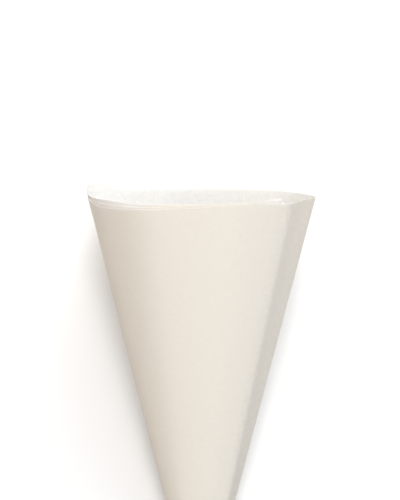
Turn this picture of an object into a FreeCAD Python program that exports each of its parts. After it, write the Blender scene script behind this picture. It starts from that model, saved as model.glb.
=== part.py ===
import FreeCAD, Part
import math
import os

from FreeCAD import Placement, Rotation, Vector

# A paper coffee filter: one half-moon sheet, folded twice and opened into a cone.
# It is worked out standing on its point, with the axis along +Z and the front at -Y,
# and then laid on its single-layer back, as it comes to rest when nothing holds it.
# Angles go round the cone in degrees from the right-hand side (+X) towards the front (-Y).
# A flat sheet wound round a point has straight rulings through that point, so each stretch
# between two creases is either a plane or a round cone whose own axis passes the point.

os.makedirs("parts", exist_ok=True)

DRIVING_SIZES = [
    ("sheet_radius", 172.0, "radius of the flat half-moon, point to rim along the paper"),
    ("rim_radius", 43.0, "mean radius of the open mouth, a quarter of the sheet radius"),
    ("paper_thickness", 0.25, "one layer of bonded filter paper"),
    ("layer_gap", 0.2, "air between two layers that lie on each other"),
    ("right_crease_angle", -6.3, "crease where the back wall turns to the front"),
    ("right_crease_radius", 43.2, "plan radius of that crease at the rim"),
    ("fold_crease_angle", 41.4, "sharp crease of the outer layer at the front right"),
    ("fold_crease_radius", 44.6, "plan radius of that crease"),
    ("right_front_radius", 41.6, "plan radius halfway along the front's right bow"),
    ("soft_crease_angle", 124.0, "soft crease at the front left"),
    ("soft_crease_radius", 43.7, "plan radius of that crease"),
    ("left_front_radius", 43.0, "plan radius halfway along the front's left bow"),
    ("left_crease_angle", 186.6, "crease where the inner layer turns to the back wall"),
    ("left_crease_radius", 43.5, "plan radius of that crease"),
    ("left_back_radius", 43.4, "plan radius halfway along the back's left bow"),
    ("rest_flat_radius", 43.2, "plan radius at both edges of the flat that it lies on"),
    ("rest_flat_half_angle", 16.0, "half the angle that the flat takes up"),
    ("right_back_radius", 43.6, "plan radius halfway along the back's right bow"),
    ("fold_tip_angle", 48.0, "where the inner pair of layers folds back"),
    ("fold_swell", 0.05, "how far the fold-back stands proud of its two layers"),
    ("loose_edge_angle", 181.0, "loose edge of the middle layer"),
    ("pair_rise", 1.5, "how far the inner pair's rim stands above the outer rim"),
    ("back_rise", 1.4, "rise of the back wall's rim at the left crease, none at the right"),
    ("tab_end_angle", 219.5, "loose edge of the outer layer, behind the back wall"),
    ("ear_start_angle", 174.5, "where the rim starts to climb to the ear"),
    ("ear_peak_angle", 209.5, "where the ear is highest"),
    ("ear_rise", 4.3, "how far the ear stands above the outer rim"),
    ("tip_blunt", 0.25, "how far the blunt end's face lies from the axis on the back"),
    ("tip_core", 1.0, "radius of the hollow where the pressed layers part"),
    ("tip_seat", 1.0, "how far the pressed tip runs up between the layers"),
    ("mouth_excess", 8.0, "how far the walls run past the rim before they are trimmed"),
]

doc = FreeCAD.newDocument("paper_coffee_filter")
sizes = doc.addObject("Spreadsheet::Sheet", "sizes")
for row, (alias, value, meaning) in enumerate(DRIVING_SIZES, start=1):
    sizes.set(f"A{row}", meaning)
    sizes.set(f"B{row}", str(value))
    sizes.setAlias(f"B{row}", alias)
doc.recompute()


def size(alias):
    """The number in the sheet's cell of that name."""
    return float(sizes.get(alias))


FULL_TURN = 360.0
BACK_ANGLE = 270.0
POINT = Vector(0, 0, 0)
UP = Vector(0, 0, 1)
PAPER = size("paper_thickness")
LAYER_STEP = PAPER + size("layer_gap")
STACK = 2 * LAYER_STEP + PAPER
RIM_HEIGHT = math.sqrt(size("sheet_radius") ** 2 - size("rim_radius") ** 2)
STEEPNESS = size("sheet_radius") / size("rim_radius")
PARTING_HEIGHT = (STACK + size("tip_core")) * STEEPNESS
WALL_TOP = RIM_HEIGHT + size("mouth_excess")

# The outline in plan, once round: where each stretch starts and ends, its plan radius at
# both ends, and its plan radius halfway, or None on a straight stretch.
RIGHT_CREASE = size("right_crease_angle")
FOLD_CREASE = size("fold_crease_angle")
SOFT_CREASE = size("soft_crease_angle")
LEFT_CREASE = size("left_crease_angle")
FLAT_START = BACK_ANGLE - size("rest_flat_half_angle")
FLAT_END = BACK_ANGLE + size("rest_flat_half_angle")
RIGHT_CREASE_AGAIN = RIGHT_CREASE + FULL_TURN

CORNERS = [
    (RIGHT_CREASE, size("right_crease_radius"), None),
    (FOLD_CREASE, size("fold_crease_radius"), size("right_front_radius")),
    (SOFT_CREASE, size("soft_crease_radius"), size("left_front_radius")),
    (LEFT_CREASE, size("left_crease_radius"), size("left_back_radius")),
    (FLAT_START, size("rest_flat_radius"), None),
    (FLAT_END, size("rest_flat_radius"), size("right_back_radius")),
    (RIGHT_CREASE_AGAIN, size("right_crease_radius"), None),
]


def heading(angle):
    """Unit vector from the axis outwards at that angle."""
    turn = math.radians(angle)
    return Vector(math.cos(turn), -math.sin(turn), 0.0)


def onward(angle):
    """Unit vector along the wall at that angle, the way the angles grow."""
    turn = math.radians(angle)
    return Vector(-math.sin(turn), -math.cos(turn), 0.0)


def ruling(angle, radius):
    """Unit vector up the outermost face from the point, through that place on the rim."""
    return (heading(angle) * radius + Vector(0, 0, RIM_HEIGHT)).normalize()


def sector(start, end, bottom, top):
    """Prism between two upright planes through the axis at those angles."""
    foot = UP * bottom
    fan = [foot, foot + heading(start) * top, foot + heading(end) * top, foot]
    return Part.Face(Part.makePolygon(fan)).extrude(UP * (top - bottom))


class Stretch:
    """One stretch of the outline between two creases: a plane, or a round cone."""

    def __init__(self, start, end, start_radius, end_radius, bow_radius):
        self.start = start
        self.end = end
        self.is_flat = bow_radius is None
        first = ruling(start, start_radius)
        last = ruling(end, end_radius)
        if self.is_flat:
            self.axis = last.cross(first).normalize()
            self.spread = math.pi / 2
        else:
            middle = ruling((start + end) / 2, bow_radius)
            self.axis = (last - middle).cross(middle - first).normalize()
            self.spread = math.acos(self.axis.dot(first))

    def ruling_at(self, angle):
        """Unit vector from the point up the outermost face at that angle."""
        out = heading(angle)
        across = out.dot(self.axis)
        along = self.axis.z
        # The lean from upright at which a line in this heading is spread away from the axis.
        lean = math.atan2(across, along) + math.acos(math.cos(self.spread) / math.hypot(across, along))
        return out * math.sin(lean) + UP * math.cos(lean)

    def filled(self, inset):
        """Solid inside the stretch's surface; further in is the same surface moved up."""
        point = UP * (inset * STEEPNESS)
        reach = 2 * WALL_TOP
        if self.is_flat:
            return Part.makeCylinder(reach, reach, point, self.axis)
        return Part.makeCone(0, reach * math.tan(self.spread), reach, point, self.axis)

    def wall(self, start, end, inset):
        """Solid of one layer of paper from one angle to another."""
        layer = self.filled(inset).common(sector(start, end, PARTING_HEIGHT, WALL_TOP))
        return layer.cut(self.filled(inset + PAPER))


OUTLINE = [
    Stretch(start, end, start_radius, end_radius, bow_radius)
    for (start, start_radius, bow_radius), (end, end_radius, _) in zip(CORNERS, CORNERS[1:])
]


def stretch_at(angle):
    """The outline's stretch that holds the angle."""
    for stretch in OUTLINE:
        if stretch.start <= angle <= stretch.end:
            return stretch
    raise ValueError(f"no stretch of the outline at {angle} degrees")


def layer_walls(start, end, layer):
    """Walls of one layer from angle to angle; the layer number counts inwards from 0."""
    walls = []
    for stretch in OUTLINE:
        low = max(start, stretch.start)
        high = min(end, stretch.end)
        if low < high:
            walls.append(stretch.wall(low, high, layer * LAYER_STEP))
    return walls


def add_walls(name, walls):
    """Object of walls that meet at their creases, joined into one."""
    joined = doc.addObject("Part::Feature", name)
    joined.Shape = walls[0].fuse(walls[1:])
    return joined


def add_rim(name, radius, shift):
    """Ball about the point, or beside it, whose surface trims a rim: the sheet's own edge."""
    ball = doc.addObject("Part::Sphere", name)
    ball.setExpression("Radius", radius)
    ball.setExpression("Placement.Base.x", shift)
    return ball


def add_boolean(kind, name, base, tool):
    """Cut, common or fuse of two objects."""
    result = doc.addObject(kind, name)
    result.Base = base
    result.Tool = tool
    return result


# Outer layer, from the right crease round the front and past the left crease.
wrap_walls = add_walls("wrap_walls", layer_walls(RIGHT_CREASE, size("tab_end_angle"), 0))

# Single back wall: one layer in at the back. It is moved to the right down the ruling of the
# left crease, so that it starts two layers in there and comes out to the outer layer at the
# right crease.
back_walls = add_walls("back_walls", layer_walls(LEFT_CREASE, RIGHT_CREASE_AGAIN, 1))
left_ruling = stretch_at(LEFT_CREASE).ruling_at(LEFT_CREASE)
down_the_crease = left_ruling * (-LAYER_STEP * STEEPNESS / left_ruling.z)
back_walls.Placement = Placement(Vector(down_the_crease.x, down_the_crease.y, 0), Rotation())

# Middle and inner layer, joined by a rounded fold-back that runs up a ruling.
FOLD_TIP = size("fold_tip_angle")
middle_walls = layer_walls(FOLD_TIP, size("loose_edge_angle"), 1)
inner_walls = layer_walls(FOLD_TIP, LEFT_CREASE, 2)
fold_ruling = stretch_at(FOLD_TIP).ruling_at(FOLD_TIP)
fold_inset = LAYER_STEP + (LAYER_STEP + PAPER) / 2
fold_radius = (LAYER_STEP + PAPER) / 2 + size("fold_swell")
fold_foot = UP * (fold_inset * STEEPNESS) + fold_ruling * PARTING_HEIGHT
fold_back = Part.makeCylinder(fold_radius, WALL_TOP, fold_foot, fold_ruling)
pair_walls = add_walls("pair_walls", middle_walls + inner_walls + [fold_back])

# The ear: the outer layer's rounded corner, as a plate in the plane of the paper there.
ear_angle = size("ear_peak_angle")
ear_heading = heading(ear_angle)
ear_onward = onward(ear_angle)
ear_line = stretch_at(ear_angle).ruling_at(ear_angle) * size("sheet_radius")
ear_radius = ear_line.dot(ear_heading)
EAR_PLATE_HALF = 12.0
EAR_PLATE_DEPTH = 15.0


def ear_point(angle, rise):
    """Point of the ear's outline, above the rim at that angle."""
    along = ear_radius * math.sin(math.radians(angle - ear_angle))
    inside = ear_heading * (ear_radius - EAR_PLATE_HALF)
    return inside + ear_onward * along + Vector(0, 0, ear_line.z + rise)


def level_arc(foot, peak):
    """Arc from a foot to a peak at which it runs level."""
    across = (peak - foot).dot(ear_onward)
    climb = peak.z - foot.z
    radius = (across ** 2 + climb ** 2) / (2 * climb)
    half_turn = math.asin(abs(across) / radius) / 2
    side = math.copysign(radius * math.sin(half_turn), across)
    halfway = peak - ear_onward * side - Vector(0, 0, radius * (1 - math.cos(half_turn)))
    return Part.Arc(foot, halfway, peak).toShape()


ear_start = ear_point(size("ear_start_angle"), 0.0)
ear_peak = ear_point(ear_angle, size("ear_rise"))
ear_end = ear_point(size("tab_end_angle"), 0.0)
drop = Vector(0, 0, -EAR_PLATE_DEPTH)
ear_sides = Part.makePolygon([ear_end, ear_end + drop, ear_start + drop, ear_start])
ear_edges = [level_arc(ear_start, ear_peak), level_arc(ear_end, ear_peak)] + ear_sides.Edges
ear_face = Part.Face(Part.Wire(Part.__sortEdges__(ear_edges)))
ear_plate = doc.addObject("Part::Feature", "ear_plate")
ear_plate.Shape = ear_face.extrude(ear_heading * (2 * EAR_PLATE_HALF))

# Each rim is an arc of the sheet, so it lies on a ball about the point.
outer_rim = add_rim("outer_rim", "sizes.sheet_radius", "0")
pair_rim = add_rim("pair_rim", "sizes.sheet_radius + sizes.pair_rise", "0")
back_rim = add_rim(
    "back_rim",
    "sizes.sheet_radius + sizes.back_rise / 2",
    "-sizes.back_rise / 2 * sizes.sheet_radius / sizes.rim_radius",
)
outer_trim = add_boolean("Part::Fuse", "outer_trim", outer_rim, ear_plate)
wrap = add_boolean("Part::Common", "wrap", wrap_walls, outer_trim)
back = add_boolean("Part::Common", "back", back_walls, back_rim)
pair = add_boolean("Part::Common", "pair", pair_walls, pair_rim)

# The pressed tip: solid inside the outermost layer, and flat where the filter lies on its back.
TIP_BOTTOM = (LAYER_STEP + size("tip_blunt")) * STEEPNESS
TIP_TOP = PARTING_HEIGHT + size("tip_seat")
rest_stretch = stretch_at(BACK_ANGLE)
rest_side = rest_stretch.filled(LAYER_STEP + PAPER / 2)
tip_wedges = [
    stretch.filled(PAPER / 2).common(sector(stretch.start, stretch.end, TIP_BOTTOM, TIP_TOP))
    for stretch in OUTLINE
]
tip = doc.addObject("Part::Feature", "tip")
tip.Shape = tip_wedges[0].fuse(tip_wedges[1:]).common(rest_side)

filter_paper = doc.addObject("Part::MultiFuse", "filter_paper")
filter_paper.Label = "filter_paper"
filter_paper.Shapes = [wrap, back, pair, tip]
doc.recompute()

# Laid on its back: the flat turns to face down, and the origin comes to the middle of the
# box's underside.
rest_ruling = rest_stretch.ruling_at(BACK_ANGLE)
rest_lean = math.degrees(math.atan2(rest_ruling.y, rest_ruling.z))
laid = Rotation(Vector(1, 0, 0), rest_lean - 90.0)
filter_paper.Placement = Placement(POINT, laid)
box = filter_paper.Shape.optimalBoundingBox()
to_origin = Vector(-(box.XMin + box.XMax) / 2, -(box.YMin + box.YMax) / 2, -box.ZMin)
filter_paper.Placement = Placement(to_origin, laid)
doc.recompute()

for part_object in doc.Objects:
    if "Invalid" in part_object.State or "Error" in part_object.State:
        raise RuntimeError(f"{part_object.Name} did not build")

SUB_PARTS = [filter_paper]
for sub_part in SUB_PARTS:
    shape = sub_part.Shape
    if shape.isNull() or not shape.isValid() or len(shape.Solids) != 1:
        raise RuntimeError(f"{sub_part.Label} is not one valid solid")
    shape.exportStep(f"parts/{sub_part.Label}.step")
    box = shape.optimalBoundingBox()
    print(f"{sub_part.Label}: {shape.Volume:.0f} cubic mm, {len(shape.Faces)} faces,"
          f" x {box.XMin:.2f} {box.XMax:.2f}, y {box.YMin:.2f} {box.YMax:.2f},"
          f" z {box.ZMin:.2f} {box.ZMax:.2f}")
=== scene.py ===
"""A paper coffee filter: one half-moon sheet, folded twice and opened into a cone.

The sheet is modelled as it winds: from the loose edge of the middle layer, round the fold-back,
through the inner layer and the single back wall, and on through the outer layer to the loose
corner that stands up as an ear. It lies on its single-layer back, as the frame has it.
"""
import logging
from dataclasses import dataclass, field
from enum import Enum
from typing import Callable

import bmesh
import bpy
import numpy as np
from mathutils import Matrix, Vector


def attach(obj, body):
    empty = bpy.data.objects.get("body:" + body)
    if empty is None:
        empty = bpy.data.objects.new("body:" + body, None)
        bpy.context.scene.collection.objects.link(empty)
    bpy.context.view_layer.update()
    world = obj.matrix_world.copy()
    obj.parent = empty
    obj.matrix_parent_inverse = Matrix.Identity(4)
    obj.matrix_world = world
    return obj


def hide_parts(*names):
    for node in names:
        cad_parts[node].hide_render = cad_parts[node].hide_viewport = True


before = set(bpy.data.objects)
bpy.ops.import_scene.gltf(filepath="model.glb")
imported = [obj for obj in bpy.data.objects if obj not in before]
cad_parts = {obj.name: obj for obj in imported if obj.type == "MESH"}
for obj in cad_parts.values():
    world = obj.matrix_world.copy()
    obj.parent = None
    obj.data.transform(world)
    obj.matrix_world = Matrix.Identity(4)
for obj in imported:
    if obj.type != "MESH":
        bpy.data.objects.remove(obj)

log = logging.getLogger("paper_coffee_filter")

NODE = "filter_paper"
PHOTO_WIDTH_PX = 400
PHOTO_HEIGHT_PX = 500
FULL_TURN = 360.0
BACK = 270.0
MILLIMETRES_PER_METRE = 1000
BELL_REACH = 2.4
BELL_READINGS = 15
ANGLE_DECIMALS = 3
WELD_DISTANCE = 1e-7
SHARP_ANGLE = 50
WHITE = (1.0, 1.0, 1.0)


class Stretch(Enum):
    """How a stretch of the cone's outline runs between two creases."""

    FLAT = "flat"
    BOWED = "bowed"


@dataclass(frozen=True)
class OutlineStretch:
    """One stretch of the outline in plan, in degrees and metres at the rim."""

    start: float
    end: float
    start_radius: float
    end_radius: float
    kind: Stretch = Stretch.FLAT
    bow_radius: float = 0.0

    def radius(self, angle: np.ndarray) -> np.ndarray:
        """Plan radius along the stretch.

        A flat stretch is the chord between its ends, met by the ray at each angle. A bowed one
        is the circle through both ends and the bow point halfway, met by the same ray.

        Args:
            angle: Angles in degrees, within the stretch.

        Returns:
            The plan radius at each angle.
        """
        first = self.start_radius * heading(np.array(self.start))[:2]
        last = self.end_radius * heading(np.array(self.end))[:2]
        ray = heading(angle)[..., :2]
        if self.kind is Stretch.FLAT:
            normal = np.array([last[1] - first[1], first[0] - last[0]])
            return (first @ normal) / (ray @ normal)
        bow = self.bow_radius * heading(np.array((self.start + self.end) / 2))[:2]
        centre = circle_centre(first, bow, last)
        along = ray @ centre
        reach = np.sum((first - centre) ** 2) - centre @ centre
        return along + np.sqrt(along**2 + reach)


def heading(angle: np.ndarray) -> np.ndarray:
    """Unit vectors away from the axis: cosine to the right, minus sine to the back.

    Args:
        angle: Degrees from the right-hand side (+X) towards the front (-Y).

    Returns:
        One vector for each angle, in the last axis.
    """
    turn = np.radians(angle)
    return np.stack([np.cos(turn), -np.sin(turn), np.zeros_like(turn)], axis=-1)


def onward(angle: np.ndarray) -> np.ndarray:
    """Unit vectors along the wall, the way the angles grow: heading a quarter turn later.

    Args:
        angle: Degrees, as for heading.

    Returns:
        One vector for each angle, in the last axis.
    """
    return heading(angle + FULL_TURN / 4)


def circle_centre(first: np.ndarray, middle: np.ndarray, last: np.ndarray) -> np.ndarray:
    """Centre of the circle through three points, from two equations of equal distance.

    Args:
        first: One point on the circle.
        middle: Another point.
        last: A third point.

    Returns:
        The centre in the same plane.
    """
    sides = 2 * np.array([middle - first, last - first])
    squares = np.array([middle @ middle - first @ first, last @ last - first @ first])
    return np.linalg.solve(sides, squares)


def softened(
    read: Callable[[np.ndarray], np.ndarray], angle: np.ndarray, width: np.ndarray | float
) -> np.ndarray:
    """A profile read at angles, with its corners rounded.

    Each reading is the mean of fifteen around it, weighted by a bell curve: the weight is the
    exponential of minus half the square of the offset over the width.

    Args:
        read: The profile, from angles in degrees to values.
        angle: Angles in degrees.
        width: Width of the bell in degrees, one for all or one for each angle.

    Returns:
        The rounded values.
    """
    offsets = np.linspace(-BELL_REACH, BELL_REACH, BELL_READINGS)
    weights = np.exp(-0.5 * offsets**2)
    readings = read(angle[..., None] + offsets * np.asarray(width)[..., None])
    return readings @ (weights / weights.sum())


def bump(value: np.ndarray, centre: float, half_width: float) -> np.ndarray:
    """Smooth bump: a raised cosine, 1 at the centre and 0 beyond the half width.

    Args:
        value: Where the bump is read.
        centre: Where it is highest.
        half_width: How far it reaches to either side.

    Returns:
        Heights from 0 to 1.
    """
    share = np.clip(np.abs(value - centre) / half_width, 0.0, 1.0)
    return 0.5 * (1 + np.cos(np.pi * share))


def ramp(past: np.ndarray, width: float) -> np.ndarray:
    """Straight rise from 0 to 1: how far a value is past its foot, over the ramp's width."""
    return np.clip(past / width, 0, 1)


Knots = tuple[tuple[float, float], ...]


@dataclass(frozen=True)
class RimRises:
    """How far each layer's edge stands above the plain rim, as angle and millimetres."""

    pair_knots: Knots = (
        (48.0, 2.35), (56.6, 1.70), (67.5, 0.93), (93.2, 0.19), (113.4, 0.05), (124.3, 0.22),
        (137.6, 0.65), (144.7, 0.95), (151.9, 0.95), (162.2, 0.92), (173.0, 1.15), (186.6, 1.60),
    )
    middle_knots: Knots = (
        (48.0, 0.35), (93.2, 0.35), (113.0, 0.90), (124.0, 1.05), (134.9, 1.20), (136.6, 1.56),
        (145.4, 1.66), (151.3, 1.40), (162.0, 1.15), (181.0, 1.20),
    )
    outer_knots: Knots = (
        (-6.3, 0.0), (7.4, -0.50), (25.7, -0.62), (40.0, 0.20), (53.2, 0.70), (77.3, 0.10),
        (93.2, -1.12), (111.2, -1.75), (124.3, -1.65), (134.9, -1.90), (145.0, -2.00),
        (152.0, -1.80), (160.0, -1.10), (169.6, -0.25), (174.5, 0.0),
    )
    back_knots: Knots = (
        (186.6, 1.60), (216.4, 0.55), (243.9, 0.30), (266.6, 0.10), (294.2, 0.45),
        (313.6, 0.45), (353.7, 0.20),
    )
    pair_softness: float = 2.5
    outer_softness: float = 0.5
    back_softness: float = 4.0
    notch: float = 136.0
    notch_reach: float = 2.2
    notch_readings: int = 12

    def pair(self, angle: np.ndarray) -> np.ndarray:
        """Rise of the inner layer in metres."""
        return self.profile(self.pair_knots, angle, self.pair_softness)

    def middle_drop(self, angle: np.ndarray) -> np.ndarray:
        """How far the middle layer's edge lies below the inner layer's, in metres."""
        return self.profile(self.middle_knots, angle)

    def outer(self, angle: np.ndarray) -> np.ndarray:
        """Rise of the outer layer in metres, without its ear."""
        return self.profile(self.outer_knots, angle, self.outer_softness)

    def back(self, angle: np.ndarray) -> np.ndarray:
        """Rise of the back wall in metres."""
        return self.profile(self.back_knots, angle, self.back_softness)

    @staticmethod
    def profile(knots: Knots, angle: np.ndarray, softness: float = 0.0) -> np.ndarray:
        """Straight lines from knot to knot, with the corners rounded where it is asked.

        Args:
            knots: Pairs of an angle and a rise in millimetres.
            angle: Angles in degrees.
            softness: Width of the rounding in degrees, none at 0.

        Returns:
            Rises in metres.
        """
        places, rises = zip(*knots)

        def straight(read_at: np.ndarray) -> np.ndarray:
            """Rises in metres with sharp corners."""
            return np.interp(read_at, places, rises) / MILLIMETRES_PER_METRE

        return softened(straight, angle, softness) if softness else straight(angle)

    def notch_columns(self) -> np.ndarray:
        """Angles close together round the small step in the middle layer's edge."""
        offsets = np.linspace(-self.notch_reach, self.notch_reach, self.notch_readings)
        return np.concatenate([self.notch + offsets + turn for turn in (0.0, FULL_TURN)])


@dataclass(frozen=True)
class Wave:
    """One slow wave of the wall round the cone, as height in metres times a sine."""

    height: float
    count: int
    phase: float
    twist: float = 0.0

    def at(self, turn: np.ndarray, share: np.ndarray) -> np.ndarray:
        """Height times the sine of count times angle, plus phase, plus twist times share."""
        return self.height * np.sin(self.count * turn + self.phase + self.twist * share)


@dataclass(frozen=True)
class LookPlaces:
    """Where and how much the paper's looks change.

    Places are in degrees or in shares of the rim's height, and strengths run from 0 to 1.
    """

    stack_lead: float = 5.0
    stack_width: float = 7.0
    stack_end_lead: float = 3.0
    stack_end_width: float = 4.0
    above_rim_width: float = 0.003
    least_cloud: float = 0.2
    more_cloud: float = 0.6
    cloudy_place: float = 76.0
    cloudy_reach: float = 26.0
    left_calm: float = 0.8
    calm_lead: float = 8.0
    calm_reach: float = 38.0
    ear_cloud_foot: float = 0.93
    ear_cloud_width: float = 0.06
    # The rest place the painted highlight: cut edges, bare band and round the left crease.
    leftwards_foot: float = 108.0
    leftwards_width: float = 22.0
    rightwards_foot: float = 62.0
    rightwards_width: float = 10.0
    edge_fade_width: float = 25.0
    front_lead: float = 2.0
    front_width: float = 4.0
    bare_width: float = 0.002
    edge_in_middle: float = 0.08
    edge_leftwards: float = 0.75
    edge_rightwards: float = 0.85
    ear_highlight_foot: float = 0.97
    ear_highlight_width: float = 0.02
    left_highlight: float = 0.8
    left_highlight_lead: float = 6.0
    left_highlight_reach: float = 52.0


@dataclass
class FoldedSheet:
    """The half-moon sheet, wound into a cone of three layers in front and one behind."""

    sheet_radius: float = 0.172
    rim_radius: float = 0.043
    paper: float = 0.00025
    layer_gap: float = 0.0002
    left_squeeze: float = 0.38
    right_crease: float = -6.3
    fold_crease: float = 41.4
    soft_crease: float = 124.0
    left_crease: float = 186.6
    rest_flat_half_angle: float = 16.0
    fold_tip: float = 48.0
    loose_edge: float = 181.0
    tab_end: float = 219.0
    ear_start: float = 178.0
    ear_peak: float = 211.5
    ear_rise: float = 0.0046
    ear_flare: float = 0.0006
    flare_lead: float = 12.0
    flare_reach: float = 28.0
    flare_foot: float = 0.95
    flare_width: float = 0.07
    right_radius: float = 0.0432
    fold_radius: float = 0.0446
    soft_radius: float = 0.0437
    left_radius: float = 0.0435
    rest_radius: float = 0.0432
    front_bow: float = 0.0416
    front_left_bow: float = 0.0430
    back_left_bow: float = 0.0434
    back_right_bow: float = 0.0436
    rims: RimRises = field(default_factory=RimRises)
    looks: LookPlaces = field(default_factory=LookPlaces)
    waves: tuple[Wave, ...] = (Wave(0.00035, 5, 0.6, 1.1), Wave(0.0002, 9, 2.0))
    wave_rest_reach: float = 75.0
    edge_depth: float = 0.0010
    tip_blunt: float = 0.00025
    tip_core: float = 0.001
    point: tuple[float, float, float] = (0.00043, -0.08764, -0.00049)
    crease_softness: float = 1.0
    soft_crease_softness: float = 7.0
    soft_crease_reach: float = 34.0
    fold_crease_share: float = 0.2
    fold_crease_reach: float = 12.0
    rest_edge_share: float = 0.5
    rest_edge_reach: float = 14.0
    squeeze_reach: float = 55.0
    column_step: float = 1.0
    crease_offsets: tuple[float, ...] = (-1.6, -0.8, -0.4, 0.0, 0.4, 0.8, 1.6)
    rows: int = 46
    last_even_row: float = 0.97
    near_rim: tuple[float, ...] = (0.0028, 0.0014, 0.0007, 0.00035, 0.0)
    fold_columns: int = 9

    def __post_init__(self) -> None:
        """Work out what follows from the sizes: heights, layers and the outline."""
        self.step = self.paper + self.layer_gap
        self.rim_height = float(np.sqrt(self.sheet_radius**2 - self.rim_radius**2))
        steepness = self.rim_height / self.rim_radius
        self.tip_bottom = (self.step + self.paper / 2 + self.tip_blunt) * steepness
        self.parting_height = (2 * self.step + self.paper + self.tip_core) * steepness
        depth_share = np.cos(np.radians(self.rest_flat_half_angle))
        self.flat_slope = float(np.arctan2(self.rest_radius * depth_share, self.rim_height))
        self.rest_edges = (BACK - self.rest_flat_half_angle, BACK + self.rest_flat_half_angle)
        corners = [
            (self.right_crease, self.right_radius),
            (self.fold_crease, self.fold_radius),
            (self.soft_crease, self.soft_radius),
            (self.left_crease, self.left_radius),
            (self.rest_edges[0], self.rest_radius),
            (self.rest_edges[1], self.rest_radius),
            (self.right_crease + FULL_TURN, self.right_radius),
        ]
        bows = [
            0.0, self.front_bow, self.front_left_bow, self.back_left_bow, 0.0, self.back_right_bow,
        ]
        self.outline = [
            OutlineStretch(
                start, end, start_radius, end_radius, Stretch.BOWED if bow else Stretch.FLAT, bow
            )
            for (start, start_radius), (end, end_radius), bow in zip(corners, corners[1:], bows)
        ]

    def plan_radius(self, angle: np.ndarray) -> np.ndarray:
        """Plan radius of the outermost face at the rim, with each crease rounded.

        The front left crease is only a gentle turn of the paper, so it is rounded most. The
        edges of the flat that it lies on are rounded half as much, and the front right crease
        a fifth as much.

        Args:
            angle: Degrees round the cone, over any number of turns.

        Returns:
            The radius in metres at each angle.
        """
        turned = self.first_turn(angle)
        gentle = bump(turned, self.soft_crease, self.soft_crease_reach)
        near_fold = bump(turned, self.fold_crease, self.fold_crease_reach)
        gentle = gentle + self.fold_crease_share * near_fold
        for edge in self.rest_edges:
            gentle = gentle + self.rest_edge_share * bump(turned, edge, self.rest_edge_reach)
        extra = self.soft_crease_softness - self.crease_softness
        return softened(self.sharp_radius, angle, self.crease_softness + extra * gentle)

    def first_turn(self, angle: np.ndarray) -> np.ndarray:
        """The same angles brought into one turn from the right crease."""
        return (angle - self.right_crease) % FULL_TURN + self.right_crease

    def sharp_radius(self, angle: np.ndarray) -> np.ndarray:
        """Plan radius with sharp creases: each angle reads the stretch that holds it.

        Args:
            angle: Degrees round the cone, over any number of turns.

        Returns:
            The radius in metres at each angle.
        """
        turned = self.first_turn(angle)
        radius = np.zeros_like(turned)
        for stretch in self.outline:
            inside = (turned >= stretch.start) & (turned <= stretch.end)
            radius[inside] = stretch.radius(turned[inside])
        return radius

    def course(self) -> tuple[np.ndarray, np.ndarray, np.ndarray]:
        """The way of the sheet round the cone, from one loose edge to the other.

        The middle layer runs back against the angles to the fold-back, which is a half circle
        between two layers. From there the sheet runs with the angles, one full turn and a half:
        its layer number falls from 2 at the left crease to 1 over the back and 0 at the right.

        Returns:
            Angles in degrees, layer numbers and steps along the wall in metres.
        """
        middle = self.columns(self.loose_edge, self.fold_tip)
        turn = np.linspace(0, np.pi, self.fold_columns + 2)[1:-1]
        onwards = self.columns(self.fold_tip, self.tab_end + FULL_TURN)
        fold_layers = 1 + (1 - np.cos(turn)) / 2
        outer_layers = np.interp(onwards, self.back_knots(), [2, 1, 1, 0])
        angle = np.concatenate([middle, np.full_like(turn, self.fold_tip), onwards])
        layer = np.concatenate([np.ones_like(middle), fold_layers, outer_layers])
        nudge = np.zeros_like(angle)
        nudge[middle.size : middle.size + turn.size] = -self.step / 2 * np.sin(turn)
        return angle, layer, nudge

    def back_knots(self) -> list[float]:
        """Angles of the left crease, both edges of the flat behind, and the right crease."""
        return [self.left_crease, *self.rest_edges, self.right_crease + FULL_TURN]

    def columns(self, start: float, end: float) -> np.ndarray:
        """Angles from start to end, evenly spaced and drawn together at the creases.

        Args:
            start: First angle in degrees.
            end: Last angle in degrees.

        Returns:
            The angles, running up or down.
        """
        low, high = min(start, end), max(start, end)
        even = np.arange(low, high, self.column_step)
        creases = [self.right_crease, self.fold_crease, self.soft_crease, self.left_crease]
        close = [np.array([low, high]), even, self.rims.notch_columns()]
        offsets = np.array(self.crease_offsets)
        for turn in (0.0, FULL_TURN):
            close += [crease + turn + offsets for crease in creases]
        angles = np.unique(np.concatenate(close).round(ANGLE_DECIMALS))
        angles = angles[(angles >= low) & (angles <= high)]
        return angles if start < end else angles[::-1]

    def rim_rise(self, angle: np.ndarray, layer: np.ndarray) -> np.ndarray:
        """How far the sheet's edge stands above the plain rim, along the course.

        Each layer has its own profile, and the outer layer's loose end climbs to the ear and
        rounds off: an arc to either side of the peak.

        Args:
            angle: Angles of the course in degrees.
            layer: Layer numbers of the course.

        Returns:
            Rise in metres.
        """
        last_turn = angle - FULL_TURN
        in_pair = angle <= self.left_crease
        behind = (angle > self.left_crease) & (last_turn < self.right_crease)
        level = np.where(in_pair, self.rims.pair(angle), 0.0)
        level = level - np.where(in_pair, self.rims.middle_drop(angle) * (2 - layer), 0.0)
        level = np.where(behind, self.rims.back(angle), level)
        outer = ~in_pair & ~behind
        level = np.where(outer, self.rims.outer(last_turn), level)
        along = self.rim_radius * np.sin(np.radians(last_turn - self.ear_peak))
        start = self.rim_radius * np.sin(np.radians(self.ear_start - self.ear_peak))
        end = self.rim_radius * np.sin(np.radians(self.tab_end - self.ear_peak))
        foot = np.where(along < 0, start, end)
        arc_radius = (foot**2 + self.ear_rise**2) / (2 * self.ear_rise)
        drop = arc_radius - np.sqrt(np.maximum(arc_radius**2 - along**2, 0))
        climbing = outer & (last_turn > self.ear_start)
        ear = np.where(climbing, np.maximum(self.ear_rise - drop, 0.0), 0.0)
        return level + ear

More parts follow.
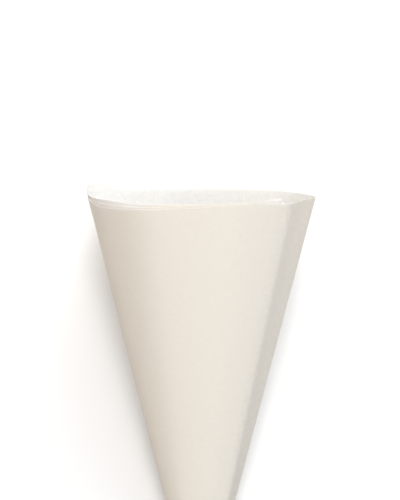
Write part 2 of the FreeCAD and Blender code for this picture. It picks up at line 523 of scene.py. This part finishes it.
    def paleness(self, angle: np.ndarray, layer: np.ndarray, share: np.ndarray) -> np.ndarray:
        """Where fewer layers lie together, the sheet looks cloudier: 0 for three, 1 for one.

        The front has three layers up to the outer rim and two above it, which look cloudiest
        right of the middle. The right facet, the back wall and the ear are single. Round the
        left crease the cloud is let down to a fifth, by one less 0.8 times a bump, and it comes
        back over the top of the ear.

        Args:
            angle: Angles of the course in degrees, one for each column.
            layer: Layer numbers of the course, one for each column.
            share: Height as a share of the rim's height, on rows by columns.

        Returns:
            Paleness on rows by columns.
        """
        looks, turned = self.looks, self.first_turn(angle)
        stacked = ramp(turned - self.fold_tip + looks.stack_lead, looks.stack_width)
        ending = self.left_crease + looks.stack_end_lead - turned
        stacked = stacked * ramp(ending, looks.stack_end_width)
        above = ramp(share - self.outer_rim(turned), looks.above_rim_width)
        inside = (layer > 0.5)[None, :]
        cloudy = bump(turned, looks.cloudy_place, looks.cloudy_reach)
        two_layers = (looks.least_cloud + looks.more_cloud * cloudy)[None, :]
        pale = 1 - stacked[None, :] * np.where(inside, 1 - two_layers * above, 1.0)
        calm = bump(turned, self.left_crease + looks.calm_lead, looks.calm_reach)
        pale = pale * (1 - looks.left_calm * calm)[None, :]
        ear = ramp(share - looks.ear_cloud_foot, looks.ear_cloud_width)
        return np.where(self.past_left_crease(angle), ear, pale)

    def outer_rim(self, turned: np.ndarray) -> np.ndarray:
        """Height of the outer layer's edge as a share of the rim's height, as one row."""
        return (1 + self.rims.outer(turned) / self.sheet_radius)[None, :]

    def past_left_crease(self, angle: np.ndarray) -> np.ndarray:
        """Whether each column is in the loose end beyond the left crease, as one row."""
        return (angle - FULL_TURN > self.left_crease)[None, :]

    def painted_highlight(
        self, angle: np.ndarray, layer: np.ndarray, share: np.ndarray
    ) -> tuple[np.ndarray, np.ndarray]:
        """Painted highlight, from 0 to 1: where the paper is painted lighter and lets less light
        through.

        Along the front it is painted highlight where the cut edges catch the light, faint in the
        middle and clear at both ends, and, to the left, painted light on the band of the inner
        layers that the outer one leaves bare. Round the left crease the inner layer and the ear
        get painted highlight too.

        Args:
            angle: Angles of the course in degrees, one for each column.
            layer: Layer numbers of the course, one for each column.
            share: Height as a share of the rim's height, on rows by columns.

        Returns:
            The painted highlight and the painted shade line on the back's cut edge, on rows by
            columns.
        """
        looks, turned = self.looks, self.first_turn(angle)
        edge = np.clip(1 - (share[-1:] - share) * self.sheet_radius / self.edge_depth, 0, 1)
        leftwards = ramp(turned - looks.leftwards_foot, looks.leftwards_width)
        rightwards = ramp(looks.rightwards_foot - turned, looks.rightwards_width)
        fade = ramp(self.left_crease - turned, looks.edge_fade_width)
        in_front = ramp(turned - self.fold_crease + looks.front_lead, looks.front_width)
        in_front = in_front * (turned <= self.left_crease)
        bare = ramp(share - self.outer_rim(turned), looks.bare_width)
        bare = bare * (angle <= self.left_crease)
        # painted highlight along the cut edges, faint in the middle and clear at both ends
        clear = looks.edge_in_middle + looks.edge_leftwards * leftwards
        clear = clear + looks.edge_rightwards * rightwards
        line = edge * (clear * fade)[None, :]
        # painted light on the bare band of the inner layers, to the left
        front = np.maximum(line, bare * leftwards[None, :]) * in_front[None, :]
        # painted highlight on the ear and on the inner layer round the left crease
        ear = ramp(share - looks.ear_highlight_foot, looks.ear_highlight_width)
        inward = np.maximum((layer > 1.0)[None, :] * 1.0, self.past_left_crease(angle) * ear)
        near = bump(turned, self.left_crease + looks.left_highlight_lead, looks.left_highlight_reach)
        left = looks.left_highlight * inward * near[None, :]
        # painted shade line along the back's cut edge
        behind = np.where(turned > self.left_crease, 1.0, 0.0)
        return np.maximum(front, left), edge * behind[None, :]

    def turned_in(self) -> np.ndarray:
        """Where the sheet's first face looks into the cone: 1 up to the fold-back, 0 after it."""
        angle = self.course()[0]
        return np.where(np.gradient(angle) < 0, 1.0, 0.0)

    def give(self, angle: np.ndarray, share: np.ndarray) -> np.ndarray:
        """How far the paper gives in and out, the same for every layer at one place.

        A few slow waves round the cone grow towards the rim and die out over the flat that it
        lies on: amplitude times the share of the height squared times a sine of the angle.

        Args:
            angle: Angles in degrees.
            share: Height as a share of the rim's height.

        Returns:
            Outward movement in metres.
        """
        turned = self.first_turn(angle)
        free = 1 - bump(turned, BACK, self.wave_rest_reach) ** 0.5
        slow = sum(wave.at(np.radians(turned), share) for wave in self.waves)
        return free * slow * share**2

    def points(self) -> tuple[np.ndarray, ...]:
        """The sheet's middle surface as a grid, standing on its point.

        Each column is a ruling from the point: reach is the plan radius times height over rim
        height, less the layers outside. Below the height where the layers part, they are
        pressed together in line with the height, except over the flat that the filter lies on.

        Returns:
            Points, unit normals, flat sheet coordinates, paleness, the painted highlight and the
            painted shade line on the back's edge, on rows by columns.
        """
        angle, layer, nudge = self.course()
        radius = self.plan_radius(angle)
        slant = np.sqrt(radius**2 + self.rim_height**2)
        rim = (self.sheet_radius + self.rim_rise(angle, layer)) / slant
        low = self.tip_bottom / self.rim_height
        near_rim = 1 - np.array(self.near_rim) / self.sheet_radius
        even_rows = np.linspace(0, self.last_even_row, self.rows - near_rim.size)
        ease = np.concatenate([even_rows, near_rim])[:, None]
        share = low + (rim[None, :] - low) * ease
        height = share * self.rim_height
        pressed = np.minimum(1, height / self.parting_height)
        resting = np.interp(angle, self.back_knots(), [0, 1, 1, 0])[None, :]
        pressed = pressed + (1 - pressed) * resting
        near_left = bump(self.first_turn(angle), self.left_crease, self.squeeze_reach)
        squeeze = 1 - self.left_squeeze * near_left
        inset = (layer * self.step * squeeze + self.paper / 2)[None, :] * pressed
        reach = radius[None, :] * share - inset + self.give(angle[None, :], share)
        near_ear = bump(angle - FULL_TURN, self.ear_peak - self.flare_lead, self.flare_reach)
        flare = self.ear_flare * near_ear[None, :]
        reach = reach + flare * ramp(share - self.flare_foot, self.flare_width)
        place = heading(angle)[None] * reach[..., None]
        place = place + onward(angle)[None] * (nudge[None, :] * pressed)[..., None]
        place[..., 2] = height
        across = np.gradient(place, axis=1)
        up = np.gradient(place, axis=0)
        normal = np.cross(up, across)
        normal /= np.linalg.norm(normal, axis=-1, keepdims=True)
        flat = self.flat_places(place[-1], share * slant[None, :])
        pale = self.paleness(angle, layer, share)
        return place, normal, flat, pale, *self.painted_highlight(angle, layer, share)

    @staticmethod
    def flat_places(rim_line: np.ndarray, reach: np.ndarray) -> np.ndarray:
        """Where each point lies on the flat sheet, about its point.

        The angle on the flat sheet is the sum of the small angles between neighbouring
        rulings: it and the reach along the ruling are the polar coordinates.

        Args:
            rim_line: Points at the end of each ruling, one for each column.
            reach: Distances from the sheet's point, on rows by columns.

        Returns:
            Pairs of flat coordinates in metres, on rows by columns.
        """
        unit = rim_line / np.linalg.norm(rim_line, axis=-1, keepdims=True)
        steps = np.linalg.norm(np.diff(unit, axis=0), axis=-1)
        turn = np.concatenate([[0.0], np.cumsum(steps)])
        return np.stack([reach * np.cos(turn)[None, :], reach * np.sin(turn)[None, :]], axis=-1)

    def laid(self, points: np.ndarray) -> np.ndarray:
        """Points turned from standing to lying on the back flat, and set on the frame's point.

        The turn is about the X axis, by the flat's slope less a quarter turn.

        Args:
            points: Points or directions, standing.

        Returns:
            The same points in the frame.
        """
        turn = self.flat_slope - np.pi / 2
        cosine, sine = np.cos(turn), np.sin(turn)
        matrix = np.array([[1, 0, 0], [0, cosine, -sine], [0, sine, cosine]])
        return points @ matrix.T + np.array(self.point)

    def build(self) -> bpy.types.Object:
        """Close the sheet's two faces and four edges into one thin shell.

        Returns:
            The finished piece, at the origin.
        """
        middle, normal, flat, pale, white, back_edge_shade = self.points()
        half = normal * self.paper / 2
        rows, cols = middle.shape[:2]
        pole = np.repeat(middle[:1, :, :].mean(axis=1, keepdims=True), cols, axis=1)
        outer = np.concatenate([pole, middle + half])
        inner = np.concatenate([pole, middle - half])
        flat_closed = np.concatenate([flat[:1], flat])
        rows += 1
        grid = np.arange(rows * cols).reshape(rows, cols)
        far = grid + rows * cols
        quads = np.concatenate([
            quad_grid(grid),
            quad_grid(far[:, ::-1]),
            quad_strip(grid[-1], far[-1]),
            quad_strip(far[:, -1], grid[:, -1]),
            quad_strip(grid[:, 0], far[:, 0]),
        ])
        corners = self.laid(np.concatenate([outer.reshape(-1, 3), inner.reshape(-1, 3)]))
        corners[:, 2] = np.maximum(corners[:, 2], 0.0)
        sheet_uv = np.tile(flat_closed.reshape(-1, 2), (2, 1)) / self.sheet_radius
        # Paleness, the painted highlight and the painted shade line go along as attributes.
        looks = {
            name: np.tile(np.concatenate([values[:1], values]).ravel(), 2)
            for name, values in (("paleness", pale), ("painted_highlight", white), ("back_edge_shade", back_edge_shade))
        }
        inward = np.broadcast_to(self.turned_in(), grid.shape).ravel()
        looks["inner_side"] = np.concatenate([inward, 1 - inward])
        return mesh_object("filter_sheet", corners, quads, sheet_uv, looks)


def quad_grid(grid: np.ndarray) -> np.ndarray:
    """Quads of a grid of vertex numbers, each from four neighbours taken in turn.

    Args:
        grid: Vertex numbers on rows by columns.

    Returns:
        One row of four numbers for each quad.
    """
    corners = [grid[:-1, :-1], grid[1:, :-1], grid[1:, 1:], grid[:-1, 1:]]
    return np.stack(corners, axis=-1).reshape(-1, 4)


def quad_strip(first: np.ndarray, second: np.ndarray) -> np.ndarray:
    """Quads between two lines of vertex numbers of the same length.

    Args:
        first: Vertex numbers along one side.
        second: Vertex numbers along the other.

    Returns:
        One row of four numbers for each quad.
    """
    corners = [first[:-1], second[:-1], second[1:], first[1:]]
    return np.stack(corners, axis=-1)


def mesh_object(
    name: str,
    points: np.ndarray,
    quads: np.ndarray,
    sheet_uv: np.ndarray,
    looks: dict[str, np.ndarray],
) -> bpy.types.Object:
    """Put arrays into a mesh with a UV map and attributes, close its poles and smooth it.

    Args:
        name: Name of the object and its mesh.
        points: One point for each vertex.
        quads: Four vertex numbers for each face.
        sheet_uv: One UV pair for each vertex.
        looks: Values of each vertex from 0 to 1, under the attribute's name.

    Returns:
        The new object, linked to the scene.
    """
    mesh = bpy.data.meshes.new(name)
    mesh.from_pydata(points.tolist(), [], quads.tolist())
    uv_map = mesh.uv_layers.new(name="flat_sheet")
    uv_map.data.foreach_set("uv", sheet_uv[quads.ravel()].astype(np.float32).ravel())
    for look, values in looks.items():
        attribute = mesh.attributes.new(name=look, type="FLOAT", domain="POINT")
        attribute.data.foreach_set("value", values.astype(np.float32))
    work = bmesh.new()
    work.from_mesh(mesh)
    bmesh.ops.remove_doubles(work, verts=work.verts, dist=WELD_DISTANCE)
    bmesh.ops.recalc_face_normals(work, faces=work.faces)
    work.to_mesh(mesh)
    work.free()
    mesh.shade_smooth()
    mesh.set_sharp_from_angle(angle=np.radians(SHARP_ANGLE))
    piece = bpy.data.objects.new(name, mesh)
    bpy.context.scene.collection.objects.link(piece)
    return piece


@dataclass
class ShaderGraph:
    """A material's node tree, built node by node."""

    tree: bpy.types.NodeTree

    def add(self, kind: str, settings: dict | None = None, **inputs: object) -> bpy.types.Node:
        """Add a node, with its settings, and with each named input set or linked.

        Args:
            kind: The node's type name, without its ShaderNode prefix.
            settings: Attributes of the node itself.
            **inputs: A number, a tuple or another node's output socket, for each input. An
                underscore in the name stands for a space, and a name of one letter and a digit
                counts the inputs, as i0 for the first.

        Returns:
            The new node.
        """
        node = self.tree.nodes.new("ShaderNode" + kind)
        for name, value in (settings or {}).items():
            setattr(node, name, value)
        for name, value in inputs.items():
            counted = name[0] == "i" and name[1:].isdigit()
            socket = node.inputs[int(name[1:]) if counted else name.replace("_", " ")]
            if isinstance(value, bpy.types.NodeSocket):
                self.tree.links.new(value, socket)
            else:
                socket.default_value = value
        return node

    def math(self, operation: str, first: object, second: object) -> bpy.types.NodeSocket:
        """Output of a math node on two values."""
        return self.add("Math", {"operation": operation}, i0=first, i1=second).outputs["Value"]

    def blend(self, share: object, first: object, second: object) -> bpy.types.NodeSocket:
        """Output of a colour mix, from first at 0 to second at 1."""
        mix = self.add("Mix", {"data_type": "RGBA"}, Factor=share, A=first, B=second)
        return mix.outputs["Result"]

    def seen(self) -> bpy.types.NodeSocket:
        """1 for rays from the camera, mirrored ones and those let through, else 0."""
        path = self.add("LightPath").outputs
        direct = self.math("MAXIMUM", path["Is Camera Ray"], path["Is Glossy Ray"])
        return self.math("MAXIMUM", direct, path["Is Transmission Ray"])


@dataclass(frozen=True)
class FilterPaper:
    """Uncoated bonded paper: pale cream, dull, softly cloudy and a little see-through."""

    stacked: tuple[float, float, float] = (0.952, 0.894, 0.804)
    single: tuple[float, float, float] = (0.926, 0.874, 0.812)
    # painted light: cooler, greyer copy of the paper's colour for the inner faces
    inside: tuple[float, float, float] = (0.853, 0.865, 0.868)
    # painted highlight colour, for the cut edges, the bare band and round the left crease
    edge: tuple[float, float, float] = (0.985, 0.968, 0.940)
    # painted shade: darker, cooler colour for a line along the back's cut edge
    back_edge_shade: tuple[float, float, float] = (0.860, 0.875, 0.865)
    through_colour: tuple[float, float, float] = (0.95, 0.92, 0.86)
    stacked_through: float = 0.15
    single_through: float = 0.28
    roughness: float = 0.95
    cloud_scale: float = 85.0
    grain_scale: float = 260.0
    cloud_detail: float = 5.0
    grain_detail: float = 2.0
    mottle_level: float = 0.85
    mottle_colour: tuple[float, float, float] = (0.35, 0.33, 0.30)
    stacked_mottle: float = 0.10
    single_mottle: float = 0.37
    relief: float = 0.10
    relief_depth: float = 0.0003
    gloss: float = 0.15
    # how much the painted highlight holds back the light let through
    highlight_block: float = 0.8

    def material(self) -> bpy.types.Material:
        """Build the finish.

        Outside, the colour goes from the stacked to the single one with the paleness, and the
        inner side gets a cooler, greyer copy, painted for the cool light inside the cone. The
        painted highlight blends either towards the edge colour, and lets less light through: what
        comes through is multiplied by one less 0.8 times the painted highlight. The mottle then
        darkens the colour by its own strength times a clouded noise over the flat sheet, and a
        darker, cooler colour is painted along the back's cut edge as a shade line.

        Returns:
            The material, for the sheet's own UV map and attributes.
        """
        paper = bpy.data.materials.new("bonded_filter_paper")
        paper.use_nodes = True
        paper.node_tree.nodes.clear()
        graph = ShaderGraph(paper.node_tree)
        place = graph.add("UVMap", {"uv_map": "flat_sheet"}).outputs["UV"]
        pale = graph.add("Attribute", {"attribute_name": "paleness"}).outputs["Fac"]
        cloud = graph.add("TexNoise", Vector=place, Scale=self.cloud_scale,
                          Detail=self.cloud_detail)
        grain = graph.add("TexNoise", Vector=place, Scale=self.grain_scale,
                          Detail=self.grain_detail)
        both = graph.math("ADD", cloud.outputs["Fac"], grain.outputs["Fac"])
        mottle = graph.math("MAXIMUM", graph.math("SUBTRACT", both, self.mottle_level), 0.0)
        extra = self.single_mottle - self.stacked_mottle
        strength = graph.math("ADD", graph.math("MULTIPLY", pale, extra), self.stacked_mottle)
        dark = graph.math("MULTIPLY", mottle, strength)
        outside = graph.blend(pale, (*self.stacked, 1), (*self.single, 1))
        white = graph.add("Attribute", {"attribute_name": "painted_highlight"}).outputs["Fac"]
        inner = graph.add("Attribute", {"attribute_name": "inner_side"}).outputs["Fac"]
        # painted light: the inner faces take the cooler, greyer copy of the paper's colour
        plain = graph.blend(inner, outside, (*self.inside, 1))
        # painted highlight
        plain = graph.blend(white, plain, (*self.edge, 1))
        clouded = graph.blend(dark, plain, (*self.mottle_colour, 1))
        # painted shade line along the back's cut edge
        far = graph.add("Attribute", {"attribute_name": "back_edge_shade"}).outputs["Fac"]
        colour = graph.blend(far, clouded, (*self.back_edge_shade, 1))
        relief = graph.add("Bump", Strength=self.relief, Distance=self.relief_depth,
                           Height=grain.outputs["Fac"])
        face = graph.add("BsdfPrincipled", Base_Color=colour, Roughness=self.roughness,
                         Specular_IOR_Level=self.gloss, Normal=relief.outputs["Normal"])
        through = graph.add("BsdfTranslucent", Color=(*self.through_colour, 1))
        more = self.single_through - self.stacked_through
        let_through = graph.math("ADD", graph.math("MULTIPLY", pale, more), self.stacked_through)
        # the painted highlight lets less light through
        kept = graph.math("SUBTRACT", 1.0, graph.math("MULTIPLY", white, self.highlight_block))
        let_through = graph.math("MULTIPLY", let_through, kept)
        both_faces = graph.add("MixShader", i0=let_through, i1=face.outputs["BSDF"],
                               i2=through.outputs["BSDF"])
        graph.add("OutputMaterial", Surface=both_faces.outputs["Shader"])
        return paper


@dataclass(frozen=True)
class SoftLamp:
    """A square area lamp, turned to the middle of the filter."""

    name: str
    place: tuple[float, float, float]
    power: float
    colour: tuple[float, float, float] = WHITE
    width: float = 0.6
    aim: tuple[float, float, float] = (0.0, 0.03, 0.03)

    def build(self) -> None:
        """Hang the lamp at its place."""
        light = bpy.data.lights.new(self.name, "AREA")
        light.energy = self.power
        light.size = self.width
        light.color = self.colour
        lamp = bpy.data.objects.new(self.name, light)
        lamp.location = self.place
        lamp.visible_camera = False
        towards = Vector(self.aim) - Vector(self.place)
        lamp.rotation_euler = towards.to_track_quat("-Z", "Y").to_euler()
        bpy.context.scene.collection.objects.link(lamp)


@dataclass
class Studio:
    """Plain pale floor, soft lamps and the camera at the photograph's angle."""

    floor_size: float = 3.0
    floor_drop: float = 0.0005
    near_radius: float = 0.22
    far_radius: float = 0.50
    floor_colour: tuple[float, float, float] = (0.9, 0.9, 0.9)
    camera_distance: float = 1.2
    camera_elevation: float = 4.3
    rim_centre_px: tuple[float, float] = (201.25, 197.6)
    metres_per_px: float = 0.000377
    lamps: tuple[SoftLamp, ...] = (
        SoftLamp("key_lamp", (0.0, 0.05, 1.1), 6.03),
        SoftLamp("mouth_lamp", (0.05, 0.9, 0.75), 7.9),
        SoftLamp("right_mouth_lamp", (0.46, 0.86, 0.68), 3.7),
        SoftLamp("low_lamp", (0.1, -0.7, 0.9), 4.0, (0.94, 0.97, 1.0)),
        SoftLamp("left_lamp", (-0.95, 0.2, 0.6), 1.27, (1.0, 0.62, 0.30)),
        SoftLamp("right_lamp", (0.95, 0.2, 0.6), 0.28),
    )
    sky_strength: float = 0.063

    def build_floor(self) -> None:
        """Lay the floor, a hair below the paper so that the two don't lie in one plane."""
        half, level = self.floor_size / 2, -self.floor_drop
        corners = [(-half, -half, level), (half, -half, level), (half, half, level)]
        mesh = bpy.data.meshes.new("floor")
        mesh.from_pydata([*corners, (-half, half, level)], [], [(0, 1, 2, 3)])
        floor = bpy.data.objects.new("floor", mesh)
        bpy.context.scene.collection.objects.link(floor)
        mesh.materials.append(self.floor_material())

    def floor_material(self) -> bpy.types.Material:
        """Pale dull floor that keeps the shadow near the filter and fades to white far off.

        The fade grows with the distance from the middle, from nothing at the near radius to all
        at the far one, and only for rays from the camera, mirrored ones and those let through.

        Returns:
            The material, for the floor's own Object coordinates.
        """
        pale = bpy.data.materials.new("pale_floor")
        pale.use_nodes = True
        pale.node_tree.nodes.clear()
        graph = ShaderGraph(pale.node_tree)
        place = graph.add("TexCoord").outputs["Object"]
        away = graph.add("VectorMath", {"operation": "LENGTH"}, i0=place).outputs["Value"]
        fade = graph.add("MapRange", Value=away, From_Min=self.near_radius,
                         From_Max=self.far_radius).outputs["Result"]
        shown = graph.math("MULTIPLY", fade, graph.seen())
        face = graph.add("BsdfDiffuse", Color=(*self.floor_colour, 1)).outputs["BSDF"]
        white = graph.add("Emission", Strength=1.0).outputs["Emission"]
        both = graph.add("MixShader", i0=shown, i1=face, i2=white)
        graph.add("OutputMaterial", Surface=both.outputs["Shader"])
        return pale

    def build_lamps(self) -> None:
        """Hang every lamp."""
        for lamp in self.lamps:
            lamp.build()

    def build_sky(self) -> None:
        """Even white light from all round, and plain white where it is seen."""
        world = bpy.data.worlds.new("studio")
        world.use_nodes = True
        world.node_tree.nodes.clear()
        graph = ShaderGraph(world.node_tree)
        sky = graph.add("Background", Color=(*WHITE, 1), Strength=self.sky_strength)
        plain = graph.add("Background", Color=(*WHITE, 1), Strength=1.0)
        pick = graph.add("MixShader", i0=graph.seen(), i1=sky.outputs["Background"],
                         i2=plain.outputs["Background"])
        graph.add("OutputWorld", Surface=pick.outputs["Shader"])
        bpy.context.scene.world = world

    def build_camera(self, sheet: FoldedSheet) -> None:
        """Look at the mouth from a little above its rim, as the photograph does.

        The lens makes one pixel of the photograph's frame as wide as it is there at the rim,
        and the camera aims at the point of the rim's plane that the frame's middle shows.

        Args:
            sheet: The sheet, for the rim's centre and the way it lies.
        """
        rim_centre = sheet.laid(np.array([0.0, 0.0, sheet.rim_height]))
        axis = sheet.laid(np.array([0.0, 0.0, 1.0])) - np.array(sheet.point)
        lift = np.radians(self.camera_elevation)
        away = np.array([0.0, -np.cos(lift), np.sin(lift)])
        away = sheet.laid(away) - np.array(sheet.point)
        up = axis - away * (axis @ away)
        up /= np.linalg.norm(up)
        right = np.cross(up, away)
        off_x = (PHOTO_WIDTH_PX / 2 - self.rim_centre_px[0]) * self.metres_per_px
        off_y = (PHOTO_HEIGHT_PX / 2 - self.rim_centre_px[1]) * self.metres_per_px
        target = rim_centre + right * off_x - up * off_y
        place = rim_centre + away * self.camera_distance
        data = bpy.data.cameras.new("camera")
        frame_height = PHOTO_HEIGHT_PX * self.metres_per_px
        data.lens = data.sensor_width * self.camera_distance / frame_height
        camera = bpy.data.objects.new("camera", data)
        camera.location = Vector(place)
        aim = Vector(target - place)
        camera.rotation_euler = aim.to_track_quat("-Z", "Y").to_euler()
        bpy.context.scene.collection.objects.link(camera)
        bpy.context.scene.camera = camera


def main() -> None:
    """Build the filter, its paper and the studio round it."""
    logging.basicConfig(level=logging.INFO, format="%(name)s: %(message)s")
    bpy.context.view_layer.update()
    sheet = FoldedSheet()
    piece = sheet.build()
    piece.data.materials.append(FilterPaper().material())
    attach(piece, "root")
    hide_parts(NODE)
    log.info("sheet: %d faces", len(piece.data.polygons))
    studio = Studio()
    studio.build_floor()
    studio.build_lamps()
    studio.build_sky()
    studio.build_camera(sheet)
    bpy.context.scene.view_settings.view_transform = "Standard"
    log.info("studio ready")


if __name__ == "__main__":
    main()
